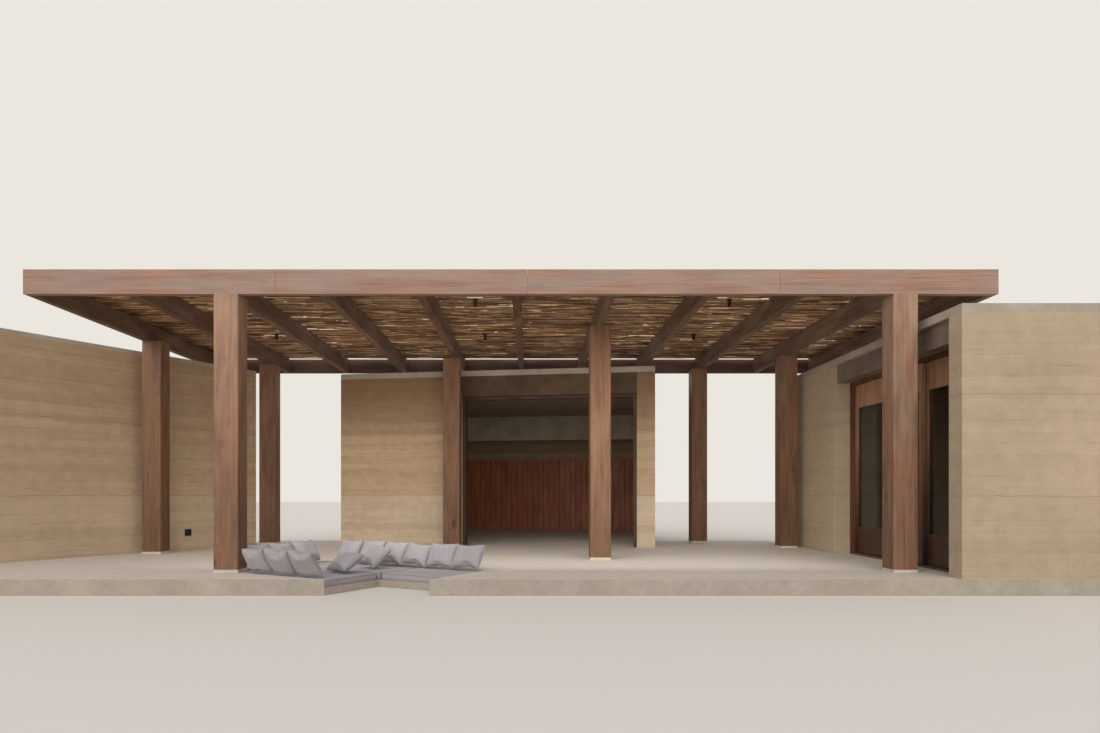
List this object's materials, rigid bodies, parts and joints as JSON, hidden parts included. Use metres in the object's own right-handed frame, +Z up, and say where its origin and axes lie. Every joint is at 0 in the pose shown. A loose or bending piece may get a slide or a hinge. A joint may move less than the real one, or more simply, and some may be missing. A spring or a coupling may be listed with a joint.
{
  "type": "rammed earth house with a timber and cane pergola",
  "caption": "Low rammed earth house round a raised terrace, with a timber pergola roofed in cane, a seating pit, an open living room and glazed sliding doors.",
  "frame": {"origin": "centre of the plan's bounding box at ground level", "axes": "+Z up, +X to the right seen from the garden, +Y from the garden into the house"},
  "size_m": [17.664, 12.495, 3.88],
  "materials": {
    "concrete": "cast, matt",
    "earth": "rammed in layers",
    "pale_earth": "rammed in layers",
    "timber": "oiled, weathered",
    "dark_timber": "oiled",
    "glass": "clear",
    "cane": "dry, unpeeled",
    "cushion": "woven",
    "black_metal": "matt black"
  },
  "bodies": {
    "house": {"cane_screen": "cane", "door_frame": "dark_timber", "edge_beams": "timber", "front_fascia": "timber", "garden_wall": "earth", "garden_wall_coping": "concrete", "living_floor": "concrete", "living_front_pier": "earth", "living_front_wall": "earth", "living_inner_beam": "concrete", "living_left_wall": "earth", "living_lintel": "concrete", "living_opening_frame": "dark_timber", "living_panelling": "dark_timber", "living_rear_wall": "earth", "living_right_wall": "earth", "living_roof": "concrete", "pit_bench": "concrete", "pit_cushions": "cushion", "pit_seat_pads": "cushion", "post_centre": "timber", "post_front_left": "timber", "post_front_right": "timber", "post_left": "timber", "post_left_rear": "timber", "post_living_room": "timber", "post_pads": "concrete", "post_rear": "timber", "post_right_rear": "timber", "rafters": "timber", "rear_beam": "timber", "rear_leaf": "dark_timber", "rear_leaf_glass": "glass", "side_room_floor": "concrete", "side_room_front_wall": "pale_earth", "side_room_lintel": "concrete", "side_room_outer_wall": "pale_earth", "side_room_rear_wall": "pale_earth", "side_room_roof": "concrete", "side_room_side_wall": "pale_earth", "spotlights": "black_metal", "terrace": "concrete", "wall_socket": "black_metal"},
    "front_door_leaf": {"front_leaf": "dark_timber", "front_leaf_glass": "glass"},
    "middle_door_leaf": {"middle_leaf": "dark_timber", "middle_leaf_glass": "glass"}
  },
  "joints": [
    {"name": "front_door_slide", "type": "slide", "parent": "house", "child": "front_door_leaf", "axis": [0, 1, 0], "range_m": [0, 0.965]},
    {"name": "middle_door_slide", "type": "slide", "parent": "house", "child": "middle_door_leaf", "axis": [0, 1, 0], "range_m": [-1.02, 1.02]}
  ]
}
